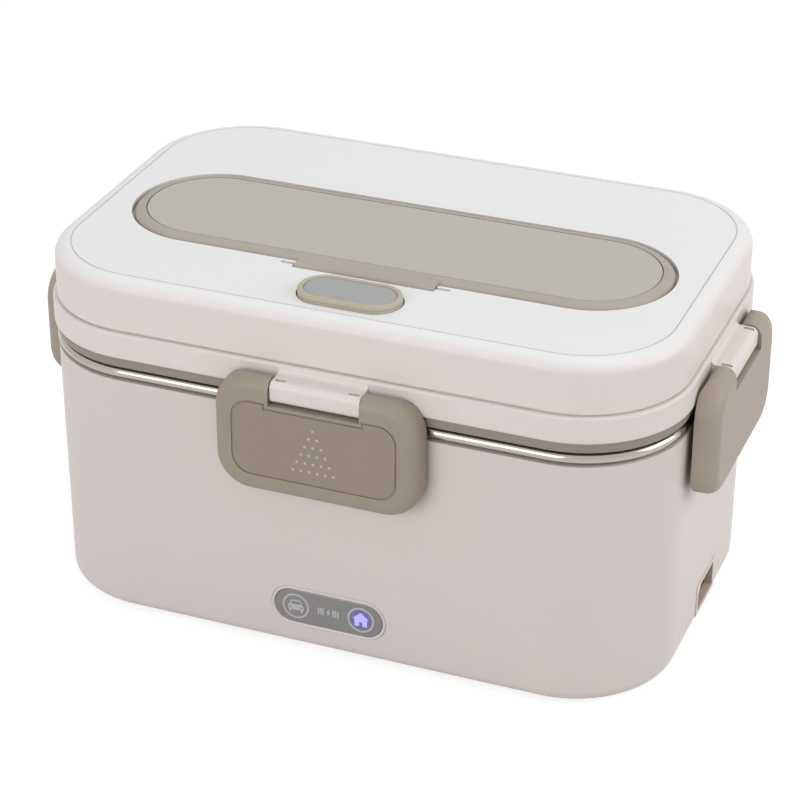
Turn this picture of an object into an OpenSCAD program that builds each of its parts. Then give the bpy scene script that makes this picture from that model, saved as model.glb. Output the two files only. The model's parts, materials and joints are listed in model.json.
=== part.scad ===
// Electric lunch box: a heated base, a lift-out steel container, and a clip-on lid
// with a cutlery bay, a steam plug and four latches. Millimetres, +Z up, the front
// faces -Y, and the origin is at the centre of the feet on the table.

/* [Overall] */
// Length of the lid band, left to right
lid_l = 237; // [216:1:270]
// Depth of the lid band, front to back
lid_w = 152; // [146:1:180]
// Corner radius of the lid band seen from above
corner_r = 40; // [36:1:46]
// Height of the lid's top face above the table
total_h = 135; // [127:1:150]

/* [Base] */
// How far the feet stand out below the shell
foot_h = 1; // [1:0.5:4]
// Diameter of a foot
foot_d = 14; // [10:1:18]
// Wall of the outer shell
shell_wall = 2.2; // [1.8:0.1:2.6]
// How far the shell's top edge lies inside the lid band
shell_inset = 1.2; // [1:0.1:2.5]
// Extra inset of the shell at its bottom, from the mould's draft
shell_draft = 0.5; // [0.5:0.1:2.5]
// Radius of the shell's bottom edge
shell_fillet = 4.5; // [4:0.5:9]
// Width of the ledge at the top of the shell, from the lid band inwards
ledge_w = 9; // [8:0.2:9.4]
// Thickness of the base plate
base_t = 2.2; // [1.8:0.1:3]

/* [Well and container] */
// Height of the well's floor above the table
well_z = 25; // [24:0.5:32]
// Wall of the well
well_wall = 1.8; // [1.4:0.1:2.2]
// Slope of the well's and container's walls, over their height
wall_draft = 4.5; // [2:0.5:6]
// Sheet thickness of the food container
sheet_t = 0.8; // [0.6:0.1:1.2]
// Radius of the container's rolled rim
bead_r = 1.9; // [1.4:0.1:2.2]
// Gap between the rolled rim and the shell's top edge
bead_gap = 0.8; // [0.5:0.1:1.2]
// Radius inside the container's bottom edge
pan_fillet = 8; // [5:0.5:12]
// Gap between the container's wall and the well
pan_gap = 1.7; // [1:0.1:2.5]

/* [Lid] */
// Height of the lid from its bottom edge to its top face
lid_h = 29.5; // [28:0.5:34]
// Height of the lower lid band
band_h = 10; // [10:0.5:12]
// Wall of the lid pieces
lid_wall = 2.2; // [1.8:0.1:2.6]
// Width of the rounding round the lid's top, seen from above
crown_w = 5.5; // [4:0.1:9]
// Height of the rounding round the lid's top
crown_h = 4.5; // [3:0.5:7]
// Width of the fine groove round the lid's flat top
groove_w = 0.6; // [0.4:0.1:1]
// Visible height of the silicone seal
seal_h = 4; // [2.5:0.5:5]
// Height of the dark gap between the seal and the rim
seal_gap = 0.5; // [0.4:0.1:1.5]
// How far the cover's side lies inside the lid band
cover_inset = 1.5; // [0.8:0.1:1.8]
// Width of the groove where the cover meets the band
seam_w = 0.4; // [0.3:0.1:0.8]

/* [Latches] */
// Width of a latch
latch_w = 75.5; // [60:0.5:76]
// Height of a latch
latch_h = 44.5; // [41:0.5:50]
// How far a latch stands out from the lid band
latch_d = 9.6; // [9:0.2:12]
// Corner radius of a latch
latch_r = 13; // [9:0.5:15]
// Width of the lug between a latch's arms
lug_w = 32.7; // [24:0.5:38]
// Diameter of the latch pins
latch_pin_d = 2.4; // [2:0.1:3]
// Number of rows in the triangle of grip dots
dot_rows = 6; // [3:1:7]

/* [Cutlery bay] */
// Length of the cutlery cover
cover_l = 202; // [170:1:206]
// Depth of the cutlery cover, front to back
cover_w = 58; // [50:1:60]
// Distance between the steam plug and the cutlery cover
plug_room = 10.5; // [9:0.5:14]
// Gap round the cutlery cover
cover_gap = 1; // [0.8:0.1:1.5]
// Width of the ledge under the cover's edge
cover_ledge = 5; // [4:0.5:8]
// Width of the cover's hinge tab
tab_w = 52; // [36:1:70]
// Width of the rounded rim round the cover's inlay
cover_rim = 4.7; // [3.5:0.1:6]
// Diameter of the cover's hinge pin
cover_pin_d = 1.6; // [1.4:0.1:2.2]

/* [Steam plug] */
// Length of the steam plug
plug_l = 37.5; // [30:0.5:44]
// Width of the steam plug
plug_w = 19; // [16:1:19]
// Distance of the steam plug's front edge from the lid band's front
plug_in = 11; // [10.5:0.5:13]
// Width of the steam plug's rim
plug_rim = 2; // [1.6:0.1:3]
// Diameter of the plug's stem
stem_d = 7.4; // [6:0.2:8]

/* [Panel and socket] */
// Length of the indicator panel
panel_l = 44; // [36:1:50]
// Height of the indicator panel
panel_h = 16; // [14:0.5:16]
// Height of the panel's middle above the table
panel_z = 18; // [16:0.5:19]
// Width of the power socket
socket_w = 23; // [22:1:30]
// Height of the power socket
socket_h = 13; // [11:0.5:14]
// Distance of the socket behind the base's middle
socket_y = 3.5; // [-6:0.5:8]
// Height of the socket's middle above the table
socket_z = 10.5; // [10.5:0.5:14]

/* [Heating] */
// Length of the heating plate
plate_l = 150; // [130:1:170]
// Depth of the heating plate
plate_w = 84; // [76:1:96]
// Thickness of the heating plate
plate_t = 2; // [1.5:0.1:3]
// Length of one heating element
heater_l = 44; // [30:1:46]

/* [Hidden] */
$fn = 48;

// clearances
touch_gap = 0.3;       // between pieces of different bodies
fit = 0.05;            // round a fixed pin or screw
turn_fit = 0.08;       // round a pin that something turns on
slip = 0.1;            // round a piece that is pushed into its place

// heights
shell_z = foot_h;
lid_z = total_h - lid_h;
seam_z = lid_z + band_h;
cover_z = seam_z + seam_w;
rim_z = lid_z - seal_h - seal_gap;
shell_top = rim_z - 2 * bead_r - bead_gap;
ledge_t = shell_wall;
well_top = shell_top - ledge_t;
well_floor = well_z + well_wall;
plate_z = well_floor + plate_t;
pad_z = shell_z + base_t;

// insets from the lid band
shell_low = shell_inset + shell_draft;
fillet_in = shell_low + shell_fillet;
rebate_w = 2;
base_in = fillet_in + rebate_w;
flange_w = 5;
flange_t = 2;
well_in = ledge_w + well_wall;
pan_in = well_in + pan_gap;
rim_in = 0.9;
seal_in = 1.1;
bead_in = rim_in + bead_r;
core_in = corner_r - 2;

// base screws and feet
screw_d = 3;
head_d = 5.6;
head_h = 1.4;
boss_d = 8;
boss_h = 11.6;
boss_lap = 2;
screw_in = base_in + flange_w + boss_d / 2 - boss_lap;
foot_seat = 1;
foot_in = 40;
foot_x = lid_l / 2 - foot_in;
foot_y = lid_w / 2 - foot_in;

// heating group under the plate
boss_l = plate_l - 30;
boss_w = plate_w - 30;
boss_drop = 3;
heater_w = 24;
heater_t = 4;
heater_z = well_z - boss_drop;
clamp_t = 1.2;
clamp_w = 20;
clamp_z = heater_z - heater_t - clamp_t;
heater_pitch = heater_l / 2 + 4;
clamp_screws = [-(heater_l + 8), 0, heater_l + 8];
clamp_l = 2 * (heater_l + 8) + 12;
thermostat_x = -30;
thermostat_d = 14;
thermostat_h = 7;
safety_y = heater_w / 2 + thermostat_d / 2 + 0.5;
fuse_x = 20;
fuse_d = 4;
fuse_l = 14;
pad_t = 3;

// panel and board behind the shell's front wall
front_y = -(lid_w / 2 - shell_low);
bezel_w = 1.3;
post_x = panel_l / 2 + 5;
post_d = 5;
post_l = 3.4;
board_y = front_y + shell_wall + post_l;
board_t = 1.6;
board_l = 2 * post_x + 8;
board_h = 14;
led_x = 12.5;
led_w = 3.6;

// socket in the shell's right wall
socket_x = lid_l / 2 - shell_low + 0.3;
socket_depth = 22;
socket_wall = 1.6;
socket_frame_w = 1.6;
socket_frame_t = 3;
socket_pin_d = 2.4;
socket_pin_x = 9;
socket_key = 3.2;

// lid
flange_in = 14;
inner_lid_in = 12;
inner_lid_t = 1.8;
top_z = total_h - lid_wall;
cover_in = cover_inset + lid_wall;
crown_in = cover_inset + crown_w;
groove_in = crown_in + 0.2;
groove_t = 0.5;
top_in = groove_in + groove_w + 0.2;
plug_y = lid_w / 2 - plug_in - plug_w / 2;
cover_y = plug_y - plug_w / 2 - plug_room - cover_w / 2;
bay_l = cover_l - 2 * cover_ledge;
bay_w = cover_w - 2 * cover_ledge;
bay_floor = lid_z + 3.5;
bay_floor_t = 1.8;
seat_z = total_h - 3;
cover_top = total_h + 1;
cover_bottom = seat_z + touch_gap;
lid_screw_end = lid_l / 2 - 30.5;
lid_screw_mid = 30;
lid_screw_x = [-lid_screw_end, -lid_screw_mid, lid_screw_mid, lid_screw_end];
lid_screw_y = lid_w / 2 - 26;
lid_boss_d = 7;
step_h = 2;
step_t = 1.6;
cover_rise = 2.5;
inlay_l = cover_l - 2 * cover_rim;
inlay_w = cover_w - 2 * cover_rim;
inlay_t = 1;
inlay_gap = 0.4;
scoop_x = 57;
scoop_r = 90;
scoop_t = 0.9;
scoop_z = seam_z + 5.5;

// latches, in the frame of one side: outwards is -Y, the band's face is y = 0
pin_out = 5.2;
pin_z = seam_z - 6.6;
pin_round = 4.4;
latch_back = 0.8;
latch_plate_t = 3.1;
latch_top = pin_z + pin_round;
latch_z = latch_top - latch_h;
latch_rim = 2.5;
notch_gap = 0.4;
notch_z = lid_z - 1.3;
latch_edge = 5;
arm_z = notch_z - 2.5;
lug_out = latch_d - 1.4;
lug_top = pin_z + 3.7;
lug_low = lid_z - 0.5;
lug_bend = 2.5;
lug_edge = 1.6;
lug_fillet = 1.8;
lug_clear = 1.5;
lug_slot = [3.8, 1.4];
groove_h = 29;
groove_side = 7.2;
groove_step = 0.9;
groove_lift = 1;
latch_groove_w = 0.8;
latch_groove_t = 0.5;
pin_reach = lug_w / 2 + 6;
hook_w = 40;
hook_z = latch_z + 5.5;
hook_h = 3.3;
hook_reach = 0.2;
catch_w = hook_w + 8;
catch_z = hook_z + hook_h + touch_gap;
catch_h = 3;
catch_out = 0.9;
dot_pitch_x = 3;
dot_pitch_z = 3.24;
dot_top_z = latch_z + 29;
dot_r = 0.9;
dot_rise = 0.4;

// hinge of the cutlery cover
cover_axis_y = -(cover_y + cover_w / 2 + 3.1);
cover_axis_z = total_h - 1.8;
barrel_r = 2.4;
pocket_gap = 0.4;
slot_l = 4.5;
pin_l = tab_w + 2 * slot_l;

// steam plug
plug_x = 1.5;
plug_inset_t = 1.2;
plug_seat = total_h - 3;
plug_top = total_h + 2.5;
plug_gap = 0.5;
stem_l = 7;
vent_d = stem_d + 0.6;
chimney_d = vent_d + 4;
steam_hole_d = 6;

// ---------- shapes ----------

// points of an arc about (x, y), from angle a to angle b
function arc(x, y, r, a, b, n = 6) =
    [for (i = [0:n]) let (t = a + (b - a) * i / n) [x + r * cos(t), y + r * sin(t)]];

// points of a quarter ellipse that rounds an edge at x = 0 up to the height z
function rounding(z, run, rise, n = 8) =
    [for (i = [0:n]) let (t = 90 * i / n) [-run * (1 - cos(t)), z - rise * (1 - sin(t))]];

// inset of the shell's outer face at height z
function shell_face(z) =
    shell_inset + shell_draft * (shell_top - z) / (shell_top - shell_z - shell_fillet);

// distance from the middle to the band's face on side k: front, right, back, left
function side_out(k) = (faces_along(k) ? lid_w : lid_l) / 2;

// whether side k is the front or the back
function faces_along(k) = k % 2 == 0;

module at_side(k) rotate([0, 0, 90 * k]) translate([0, -side_out(k), 0]) children();

// flat rounded rectangle
module rrect(l, w, r) {
    square([l, w - 2 * r], center = true);
    square([l - 2 * r, w], center = true);
    for (x = [-1, 1], y = [-1, 1]) translate([x * (l / 2 - r), y * (w / 2 - r)]) circle(r);
}

// flat pill shape
module pill(l, w) {
    square([l - w, w], center = true);
    for (x = [-1, 1]) translate([x * (l - w) / 2, 0]) circle(w / 2);
}

// sweeps a profile round a rounded rectangle; the profile's x is measured outwards
// from the rectangle's edge and its y is the height
module sweep(l, w, r) {
    for (c = [[1, 1, 0], [-1, 1, 90], [-1, -1, 180], [1, -1, 270]])
        translate([c.x * (l / 2 - r), c.y * (w / 2 - r), 0]) rotate([0, 0, c.z])
            rotate_extrude(angle = 90) translate([r, 0]) children();
    for (k = [0:3]) {
        out = (k % 2 == 0 ? l : w) / 2;
        run = (k % 2 == 0 ? w : l) - 2 * r;
        if (run > 0.01) rotate([0, 0, 90 * k]) translate([out, 0, 0])
            rotate([90, 0, 0]) linear_extrude(run, center = true) children();
    }
}

// rounded block from z0 to z1 with its top edge rounded, run wide and rise high
module block(l, w, r, z0, z1, run, rise) {
    sweep(l, w, r)
        polygon(concat([[-r, z0], [0, z0]], rounding(z1, run, rise), [[-r, z1]]));
    if (w - 2 * r > 0.01) translate([-(l / 2 - r), -(w / 2 - r), z0])
        cube([l - 2 * r, w - 2 * r, z1 - z0]);
}

// upright plate with the lid band's outline, drawn in by d
module inset_plate(d, z0, z1) translate([0, 0, z0])
    linear_extrude(z1 - z0) rrect(lid_l - 2 * d, lid_w - 2 * d, corner_r - d);

// screw with its head's outer face at z = 0, pointing up
module screw(l) difference() {
    union() {
        cylinder(d = head_d, h = head_h);
        cylinder(d = screw_d, h = l);
    }
    for (a = [0, 90]) rotate([0, 0, a]) translate([-1.6, -0.4, -1]) cube([3.2, 0.8, 1.7]);
}

// tube of radius r through the points p, as one closed skin
module tube(p, r, sides = 8) {
    n = len(p);
    function unit(v) = v / norm(v);
    ring = [for (i = [0:n - 1]) let (
            d = i == 0 ? unit(p[1] - p[0]) : i == n - 1 ? unit(p[i] - p[i - 1])
                : unit(unit(p[i] - p[i - 1]) + unit(p[i + 1] - p[i])),
            side = unit(cross(d, abs(d.z) > 0.9 ? [1, 0, 0] : [0, 0, 1])),
            up = cross(side, d))
        for (k = [0:sides - 1]) p[i] + r * (cos(360 * k / sides) * side + sin(360 * k / sides) * up)];
    skin = [for (i = [0:n - 2], k = [0:sides - 1]) let (q = (k + 1) % sides)
        each [[i * sides + k, (i + 1) * sides + k, i * sides + q],
              [i * sides + q, (i + 1) * sides + k, (i + 1) * sides + q]]];
    polyhedron(ring, concat(skin, [[for (k = [0:sides - 1]) k]],
        [[for (k = [sides - 1:-1:0]) (n - 1) * sides + k]]));
}

module screw_spots() for (x = [-1, 1], y = [-1, 1])
    translate([x * (lid_l / 2 - corner_r + (corner_r - screw_in) * cos(45)),
               y * (lid_w / 2 - corner_r + (corner_r - screw_in) * sin(45)), shell_z]) children();

module foot_spots() for (x = [-1, 1], y = [-1, 1]) translate([x * foot_x, y * foot_y, 0]) children();

module lid_screw_spots() for (x = lid_screw_x, y = [-1, 1])
    translate([x, y * lid_screw_y, lid_z - inner_lid_t]) children();

// lays a flat shape, drawn as seen from the front, against the front wall
module on_front(y) translate([0, y, panel_z]) rotate([90, 0, 0]) children();

// ---------- base ----------

module outer_shell() color([0.86, 0.82, 0.78]) difference() {
    union() {
        sweep(lid_l, lid_w, corner_r) polygon(concat(
            [[-shell_inset, shell_top]],
            arc(-fillet_in, shell_z + shell_fillet, shell_fillet, 0, -90, 8),
            [[-base_in, shell_z], [-base_in, pad_z + slip],
             [-base_in - flange_w, pad_z + slip], [-base_in - flange_w, pad_z + slip + flange_t],
             [-fillet_in, pad_z + slip + flange_t],
             [-shell_low - shell_wall, shell_z + shell_fillet],
             [-shell_inset - shell_wall, well_top],
             [-ledge_w, well_top], [-ledge_w, shell_top]]));
        screw_spots() translate([0, 0, base_t + slip]) cylinder(d = boss_d, h = boss_h);
        for (k = [0:3]) at_side(k) catch_rib();
        for (x = [-1, 1]) translate([x * post_x, board_y, panel_z]) rotate([90, 0, 0])
            cylinder(d = post_d, h = post_l + shell_wall / 2);
    }
    screw_spots() cylinder(d = screw_d + 2 * fit, h = boss_h - 1);
    on_front(board_y) linear_extrude(20) pill(panel_l + 2 * slip, panel_h + 2 * slip);
    for (x = [-1, 1]) translate([x * post_x, board_y + 1, panel_z]) rotate([90, 0, 0])
        cylinder(d = 2 + 2 * fit, h = post_l);
    translate([socket_x, socket_y, socket_z])
        cube([30, socket_w + 2 * slip, socket_h + 2 * slip], center = true);
}

// rib that a latch's hook catches under
module catch_rib() rotate([90, 0, 90]) linear_extrude(catch_w, center = true)
    polygon([[-catch_out, catch_z], [-catch_out, catch_z + catch_h / 2],
             [shell_face(catch_z) + 0.8, catch_z + catch_h + 1],
             [shell_face(catch_z) + 0.8, catch_z]]);

module base_plate() color([0.80, 0.77, 0.73]) difference() {
    inset_plate(base_in + slip, shell_z, pad_z);
    screw_spots() {
        translate([0, 0, -1]) cylinder(d = head_d + 0.4, h = 1 + head_h + 0.1);
        cylinder(d = screw_d + 2 * fit, h = 10);
    }
    foot_spots() translate([0, 0, shell_z - 1]) cylinder(d = foot_d + 2 * fit, h = 1 + foot_seat);
}

module feet() color([0.35, 0.34, 0.33]) foot_spots() cylinder(d = foot_d, h = shell_z + foot_seat);

module base_screws() color("silver") screw_spots() translate([0, 0, 0.1]) screw(boss_h - 2);

module inner_well() color([0.70, 0.68, 0.66]) difference() {
    union() {
        sweep(lid_l, lid_w, corner_r) polygon([
            [-shell_inset - shell_wall - 0.5, well_top], [-well_in, well_top],
            [-well_in - wall_draft, well_floor], [-core_in, well_floor], [-core_in, well_z],
            [-well_in - wall_draft + well_wall, well_z], [-ledge_w, well_top - well_wall],
            [-shell_inset - shell_wall - 0.5, well_top - well_wall]]);
        translate([0, 0, well_z + well_wall / 2])
            cube([lid_l - 2 * core_in + 2, lid_w - 2 * core_in + 2, well_wall], center = true);
    }
    translate([0, 0, well_z + 1]) cube([boss_l + 1, boss_w + 1, 20], center = true);
}

module heating_plate() color([0.72, 0.73, 0.74]) difference() {
    union() {
        translate([0, 0, well_floor]) linear_extrude(plate_t) rrect(plate_l, plate_w, 18);
        translate([-boss_l / 2, -boss_w / 2, heater_z]) cube([boss_l, boss_w, well_floor - heater_z]);
    }
    for (x = clamp_screws) translate([x, 0, heater_z - 1]) cylinder(d = screw_d + 2 * fit, h = 5);
}

module heater(x) translate([x - heater_l / 2, -heater_w / 2, heater_z - heater_t])
    cube([heater_l, heater_w, heater_t]);

module heater_mains() color([0.75, 0.62, 0.42]) heater(-heater_pitch);

module heater_low_voltage() color([0.62, 0.42, 0.30]) heater(heater_pitch);

module heater_clamp() color([0.60, 0.61, 0.62]) difference() {
    translate([-clamp_l / 2, -clamp_w / 2, clamp_z]) cube([clamp_l, clamp_w, clamp_t]);
    for (x = clamp_screws) translate([x, 0, clamp_z - 1]) cylinder(d = screw_d + 2 * fit, h = 5);
}

module heater_screws() color("silver") for (x = clamp_screws)
    translate([x, 0, clamp_z - head_h]) screw(head_h + clamp_t + heater_t + 3);

module thermostat() color([0.25, 0.25, 0.27]) translate([thermostat_x, safety_y, heater_z - thermostat_h]) {
    cylinder(d = thermostat_d, h = thermostat_h);
    translate([0, 0, -1]) cylinder(d = thermostat_d - 4, h = 1);
}

module thermal_fuse() color([0.85, 0.85, 0.82])
    translate([fuse_x - fuse_l / 2, safety_y - fuse_d / 2, heater_z - fuse_d])
        cube([fuse_l, fuse_d, fuse_d]);

module insulation_pad() color([0.92, 0.91, 0.86])
    translate([-plate_l / 2, -boss_w / 2, pad_z]) cube([plate_l, boss_w, pad_t]);

module circuit_board() color([0.12, 0.38, 0.22]) difference() {
    translate([-board_l / 2, board_y, panel_z - board_h / 2 - 1]) cube([board_l, board_t, board_h]);
    for (x = [-1, 1]) translate([x * post_x, board_y + 5, panel_z]) rotate([90, 0, 0])
        cylinder(d = 2 + 2 * fit, h = 10);
}

module board_screws() color("silver") for (x = [-1, 1])
    translate([x * post_x, board_y + board_t, panel_z]) rotate([90, 0, 0]) {
        translate([0, 0, -1.2]) cylinder(d = 3.6, h = 1.2);
        cylinder(d = 2, h = board_t + 2);
    }

module indicator_leds() color([0.75, 0.80, 1.0]) for (x = [-1, 1])
    translate([x * led_x - led_w / 2, board_y - 1.2, panel_z - led_w / 2]) cube([led_w, 1.2, led_w]);

module panel_bezel() color([0.92, 0.91, 0.89]) difference() {
    on_front(front_y + shell_wall) linear_extrude(shell_wall + 0.4) pill(panel_l, panel_h);
    on_front(front_y + 10) linear_extrude(20)
        pill(panel_l - 2 * bezel_w + 2 * slip, panel_h - 2 * bezel_w + 2 * slip);
}

module panel_window() color([0.55, 0.54, 0.52]) on_front(front_y + shell_wall)
    linear_extrude(shell_wall + 0.1) pill(panel_l - 2 * bezel_w, panel_h - 2 * bezel_w);

// mouth of the socket, seen from the right, with one corner cut so that a plug fits one way
module socket_mouth(depth) {
    y = socket_w / 2 - socket_frame_w;
    z = socket_h / 2 - socket_frame_w;
    rotate([90, 0, 90]) linear_extrude(depth)
        polygon([[-y, -z], [y, -z], [y, z], [-y + socket_key, z], [-y, z - socket_key]]);
}

module socket_frame() color([0.84, 0.79, 0.75]) translate([socket_x, socket_y, socket_z]) difference() {
    translate([-socket_frame_t, -socket_w / 2, -socket_h / 2]) cube([socket_frame_t, socket_w, socket_h]);
    translate([-socket_frame_t - 1, 0, 0]) socket_mouth(socket_frame_t + 2);
}

module socket_housing() color([0.30, 0.28, 0.27])
    translate([socket_x - socket_frame_t, socket_y, socket_z]) difference() {
        translate([-socket_depth, -socket_w / 2, -socket_h / 2]) cube([socket_depth, socket_w, socket_h]);
        translate([-socket_depth + 4, 0, 0]) socket_mouth(socket_depth);
        for (y = [-1, 1]) translate([-socket_depth - 1, y * socket_pin_x / 2, 0]) rotate([0, 90, 0])
            cylinder(d = socket_pin_d + 2 * fit, h = 8);
    }

module socket_pins() color([0.80, 0.78, 0.70])
    for (y = [-1, 1]) translate([socket_x - socket_frame_t - socket_depth - 3,
            socket_y + y * socket_pin_x / 2, socket_z]) rotate([0, 90, 0])
        cylinder(d = socket_pin_d, h = socket_depth - 2);

module wiring() {
    end_x = socket_x - socket_frame_t - socket_depth - 3;
    pin_y = [socket_y - socket_pin_x / 2, socket_y + socket_pin_x / 2];
    color([0.70, 0.16, 0.14]) tube([[end_x, pin_y[0], socket_z], [end_x - 6, pin_y[0], socket_z],
        [end_x - 8, -30, socket_z], [40, -55, socket_z], [20, board_y + 6, socket_z],
        [20, board_y + board_t, socket_z]], 0.9);
    color([0.15, 0.30, 0.65]) tube([[end_x, pin_y[1], socket_z], [end_x - 6, pin_y[1], socket_z],
        [60, safety_y, socket_z + 2], [fuse_x + fuse_l / 2 + 6, safety_y, heater_z - fuse_d / 2],
        [fuse_x + fuse_l / 2, safety_y, heater_z - fuse_d / 2]], 0.9);
    color([0.90, 0.88, 0.80]) tube([[fuse_x - fuse_l / 2, safety_y, heater_z - fuse_d / 2],
        [thermostat_x + thermostat_d / 2 + 4, safety_y, heater_z - fuse_d / 2],
        [thermostat_x + thermostat_d / 2, safety_y, heater_z - fuse_d / 2]], 0.9);
    color([0.12, 0.12, 0.12]) tube([[-20, board_y + board_t, socket_z], [-20, board_y + 7, socket_z],
        [-heater_pitch, -30, heater_z - heater_t / 2],
        [-heater_pitch, -heater_w / 2, heater_z - heater_t / 2]], 0.9);
}

// ---------- container ----------

module food_container() color([0.80, 0.81, 0.82]) {
    low = pan_in + wall_draft;
    sweep(lid_l, lid_w, corner_r) {
        polygon(concat(
            [[-bead_in, rim_z], [-pan_in - sheet_t + 0.5, rim_z], [-pan_in - sheet_t, rim_z - 0.5]],
            arc(-low - pan_fillet, plate_z + pan_fillet, pan_fillet - sheet_t, 0, -90, 6),
            [[-core_in, plate_z + sheet_t], [-core_in, plate_z]],
            arc(-low - pan_fillet, plate_z + pan_fillet, pan_fillet, -90, 0, 6),
            [[-pan_in, rim_z - sheet_t], [-bead_in, rim_z - sheet_t]]));
        translate([-bead_in, rim_z - bead_r]) circle(bead_r);
    }
    translate([0, 0, plate_z + sheet_t / 2])
        cube([lid_l - 2 * core_in + 2, lid_w - 2 * core_in + 2, sheet_t], center = true);
}

// ---------- lid ----------

module lid_band() color([0.88, 0.84, 0.81]) difference() {
    union() {
        sweep(lid_l, lid_w, corner_r) polygon(concat(
            arc(-1, lid_z + 1, 1, -90, 0, 4), arc(-1, seam_z - 1, 1, 0, 90, 4),
            [[-lid_wall, seam_z], [-lid_wall, lid_z + lid_wall],
             [-flange_in, lid_z + lid_wall], [-flange_in, lid_z]]));
        for (k = [0:3]) at_side(k) lug();
    }
    // bore for each pin, and slots over its ends, which all run the same way on the lid
    for (k = [0:3]) at_side(k) {
        slot = faces_along(k) ? lug_slot : [lug_slot.y, lug_slot.x];
        translate([0, -pin_out, pin_z]) rotate([0, 90, 0])
            cylinder(d = latch_pin_d + 2 * fit, h = lug_w + 2, center = true);
        for (x = [-1, 1]) translate([x * (lug_w / 2 - slot.x / 2 - 1), -pin_out, lug_top])
            cube([slot.x, slot.y, 2 * (lug_top - pin_z)], center = true);
    }
    // scoops under the seam, either side of the front latch
    for (x = [-1, 1]) translate([x * scoop_x, -lid_w / 2 - scoop_r + scoop_t, scoop_z])
        sphere(scoop_r, $fn = 120);
}

// lug that stands between a latch's arms
module lug() rotate([90, 0, 90]) linear_extrude(lug_w, center = true)
    polygon(concat(
        [[-lug_clear, lid_z], [-lug_clear, lug_low]],
        arc(-lug_out + lug_edge, lug_low + lug_edge, lug_edge, 270, 180, 4),
        arc(-lug_out + lug_bend, lug_top - lug_bend, lug_bend, 180, 90),
        arc(-lug_fillet, lug_top + lug_fillet, lug_fillet, 270, 360),
        [[lid_wall / 2, lug_top + lug_fillet], [lid_wall / 2, lid_z]]));

module lid_cover() color([0.91, 0.90, 0.89]) difference() {
    union() {
        sweep(lid_l, lid_w, corner_r) polygon(concat(
            [[-cover_in, cover_z], [-cover_inset - 0.4, cover_z], [-cover_inset, cover_z + 0.4]],
            [for (q = rounding(total_h, crown_w, crown_h)) [q.x - cover_inset, q.y]],
            [[-groove_in, total_h], [-groove_in, total_h - groove_t],
             [-groove_in - groove_w, total_h - groove_t], [-groove_in - groove_w, total_h],
             [-crown_in - 6, total_h], [-crown_in - 6, top_z], [-crown_in - 1, top_z],
             [-cover_in - 0.5, top_z - crown_h], [-cover_in, cover_z + 1]]));
        inset_plate(top_in, top_z, total_h);
        // seam step that drops inside the band
        sweep(lid_l, lid_w, corner_r) polygon([[-lid_wall - slip, cover_z + 1],
            [-lid_wall - slip, seam_z - step_h], [-lid_wall - step_t, seam_z - step_h],
            [-lid_wall - step_t, cover_z + 1]]);
        translate([0, -cover_y, bay_floor - bay_floor_t])
            linear_extrude(total_h - bay_floor + bay_floor_t - 1)
                pill(bay_l + 2 * lid_wall, bay_w + 2 * lid_wall);
        translate([0, -cover_y, seat_z - 1.8])
            linear_extrude(2) pill(cover_l + 2 * cover_gap + 2, cover_w + 2 * cover_gap + 2);
        translate([-tab_w / 2 - slot_l - 2, cover_axis_y - 5, cover_axis_z - 6])
            cube([tab_w + 2 * slot_l + 4, 8, total_h - 1 - cover_axis_z + 6]);
        translate([plug_x, -plug_y, plug_seat - 2]) linear_extrude(4) pill(plug_l + 4, plug_w + 4);
        translate([plug_x, -plug_y, lid_z]) cylinder(d = chimney_d, h = plug_seat - lid_z);
        lid_screw_spots() translate([0, 0, inner_lid_t]) cylinder(d = lid_boss_d, h = top_z + 1 - lid_z);
    }
    translate([0, -cover_y, bay_floor]) linear_extrude(40) pill(bay_l, bay_w);
    translate([0, -cover_y, seat_z]) linear_extrude(20)
        pill(cover_l + 2 * cover_gap, cover_w + 2 * cover_gap);
    translate([-tab_w / 2 - pocket_gap, cover_axis_y - barrel_r - pocket_gap,
               cover_axis_z - barrel_r - pocket_gap])
        cube([tab_w + 2 * pocket_gap, barrel_r + pocket_gap + 6, 20]);
    for (x = [-1, 1]) translate([x * (tab_w + slot_l + 1) / 2, cover_axis_y, cover_axis_z + 9])
        cube([slot_l + 1, cover_pin_d + 2 * fit, 18 + cover_pin_d + 2 * fit], center = true);
    translate([plug_x, -plug_y, plug_seat]) linear_extrude(10)
        pill(plug_l + 2 * plug_gap, plug_w + 2 * plug_gap);
    translate([plug_x, -plug_y, lid_z - 1]) cylinder(d = vent_d, h = 40);
    lid_screw_spots() cylinder(d = screw_d + 2 * fit, h = 12);
}

module inner_lid() color([0.90, 0.89, 0.87]) difference() {
    inset_plate(inner_lid_in, lid_z - inner_lid_t, lid_z);
    translate([plug_x, -plug_y, lid_z - 5]) cylinder(d = steam_hole_d, h = 10);
    lid_screw_spots() translate([0, 0, -1]) cylinder(d = screw_d + 2 * fit, h = 10);
}

module lid_seal() color([0.55, 0.55, 0.54]) sweep(lid_l, lid_w, corner_r) polygon(concat(
    arc(-seal_in - 0.8, lid_z - seal_h + 0.8, 0.8, -90, 0, 4),
    [[-seal_in, lid_z], [-inner_lid_in + slip / 2, lid_z], [-inner_lid_in + slip / 2, lid_z - inner_lid_t],
     [-inner_lid_in + 2, lid_z - seal_h]]));

module lid_screws() color("silver") lid_screw_spots()
    translate([0, 0, -head_h]) screw(head_h + inner_lid_t + 9);

module latch_pins() color("silver") for (k = [0:3]) at_side(k)
    translate([0, -pin_out, pin_z]) rotate([0, 90, 0])
        cylinder(d = latch_pin_d, h = 2 * pin_reach, center = true);

module cover_hinge_pin() color("silver") translate([0, cover_axis_y, cover_axis_z])
    rotate([0, 90, 0]) cylinder(d = cover_pin_d, h = pin_l, center = true);

// ---------- cutlery cover ----------

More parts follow.
